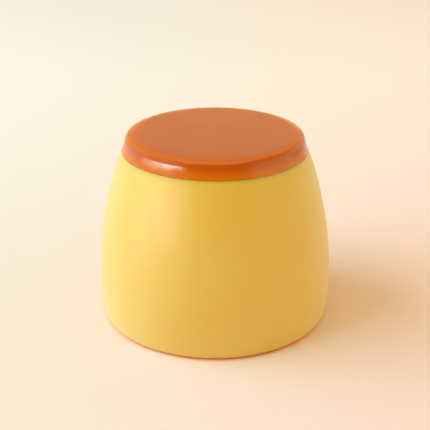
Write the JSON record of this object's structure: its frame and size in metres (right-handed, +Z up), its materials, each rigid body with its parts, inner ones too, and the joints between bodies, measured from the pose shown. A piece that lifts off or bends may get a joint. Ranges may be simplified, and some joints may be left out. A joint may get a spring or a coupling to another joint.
{
  "type": "caramel pudding",
  "caption": "Moulded caramel pudding: a smooth yellow custard body that narrows upward, with a flat glossy caramel slab lying on its top.",
  "frame": {"origin": "centre of the flat base, on the surface the pudding stands on", "axes": "+Z up along the axis of both turned pieces; the picture looks along +Y, with +X to its right"},
  "size_m": [0.08, 0.08, 0.0648],
  "materials": {
    "custard": "smooth satin custard, softly translucent",
    "caramel": "glossy translucent caramel"
  },
  "bodies": {
    "root": {"custard_body": "custard", "caramel_slab": "caramel"}
  },
  "joints": []
}
